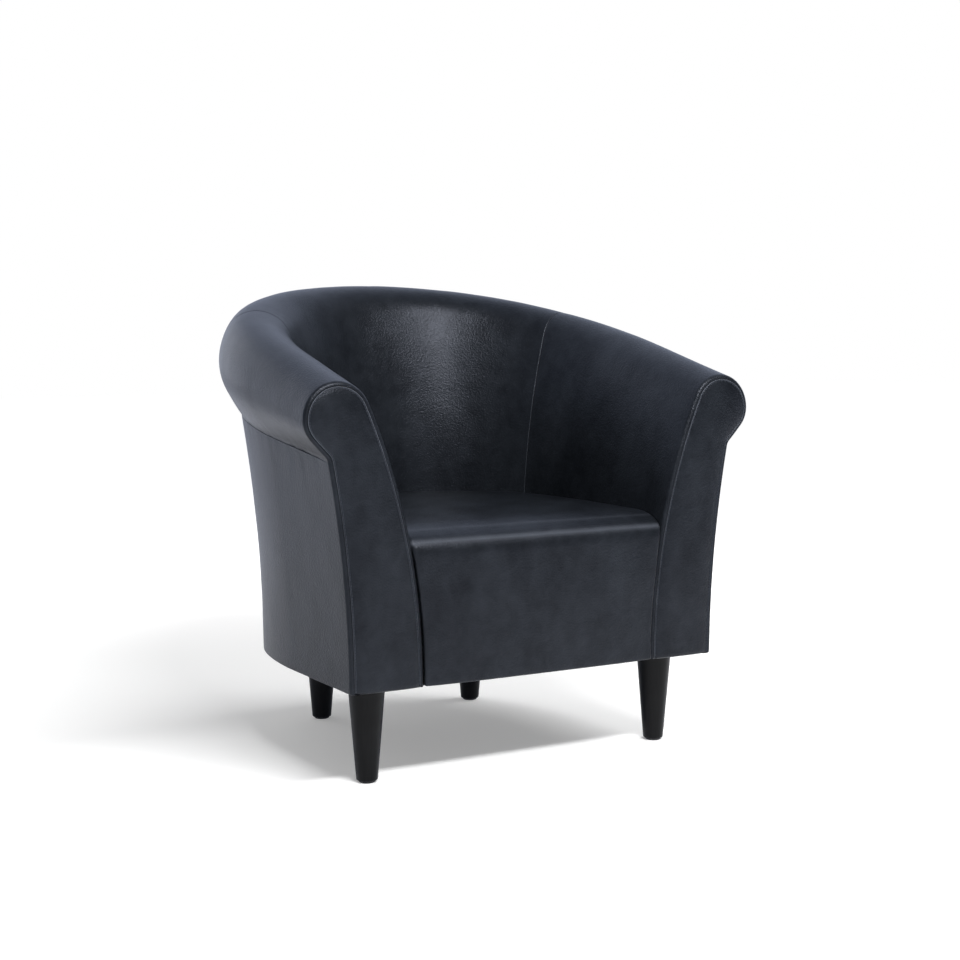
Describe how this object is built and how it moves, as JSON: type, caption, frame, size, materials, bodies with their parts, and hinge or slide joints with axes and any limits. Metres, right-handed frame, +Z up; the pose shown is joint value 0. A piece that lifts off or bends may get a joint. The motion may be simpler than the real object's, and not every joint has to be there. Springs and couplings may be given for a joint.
{
  "type": "club chair",
  "caption": "Upholstered club chair with a round tub back that rolls down into scrolled arms, a tight sprung seat, dark leather-look covers and tapered black wooden legs.",
  "frame": {"origin": "on the floor, under the middle of the chair's box", "axes": "+Z up, the chair faces -Y, +X to the right seen from the front"},
  "size_m": [0.8, 0.674, 0.765],
  "materials": {
    "cover_leather": "satin",
    "leg_wood": "satin",
    "plywood": "matte",
    "hardboard": "matte",
    "grey_board": "matte",
    "foam": "matte",
    "black_cloth": "matte",
    "steel": "satin",
    "glide_plastic": "matte"
  },
  "bodies": {
    "root": {"arm_cover_left": "cover_leather", "arm_cover_right": "cover_leather", "arm_inner_board_left": "hardboard", "arm_inner_board_right": "hardboard", "arm_inside_foam_left": "foam", "arm_inside_foam_right": "foam", "arm_outer_board_left": "grey_board", "arm_outer_board_right": "grey_board", "arm_outside_cover_left": "cover_leather", "arm_outside_cover_right": "cover_leather", "arm_panel_left": "plywood", "arm_panel_right": "plywood", "arm_rib_left": "plywood", "arm_rib_right": "plywood", "arm_roll_foam_left": "foam", "arm_roll_foam_right": "foam", "arm_top_rail_left": "plywood", "arm_top_rail_right": "plywood", "back_cover": "cover_leather", "back_inner_board": "hardboard", "back_inside_foam": "foam", "back_outer_board": "grey_board", "back_outside_cover": "cover_leather", "back_rib_left": "plywood", "back_rib_right": "plywood", "back_roll_foam": "foam", "back_top_rail": "plywood", "base_back": "plywood", "base_side_left": "plywood", "base_side_right": "plywood", "corner_rib_left": "plywood", "corner_rib_right": "plywood", "deck_cloth": "black_cloth", "dust_cover": "black_cloth", "facing_cover_left": "cover_leather", "facing_cover_right": "cover_leather", "facing_pad_left": "foam", "facing_pad_right": "foam", "foot_glides": "glide_plastic", "front_pad": "foam", "front_rail": "plywood", "hanger_bolts": "steel", "leg_front_left": "leg_wood", "leg_front_right": "leg_wood", "leg_rear_left": "leg_wood", "leg_rear_right": "leg_wood", "rear_rail": "plywood", "seat_cover": "cover_leather", "seat_foam": "foam", "seat_springs": "steel", "side_rail_left": "plywood", "side_rail_right": "plywood", "spring_clips": "steel", "t_nuts": "steel"}
  },
  "joints": []
}
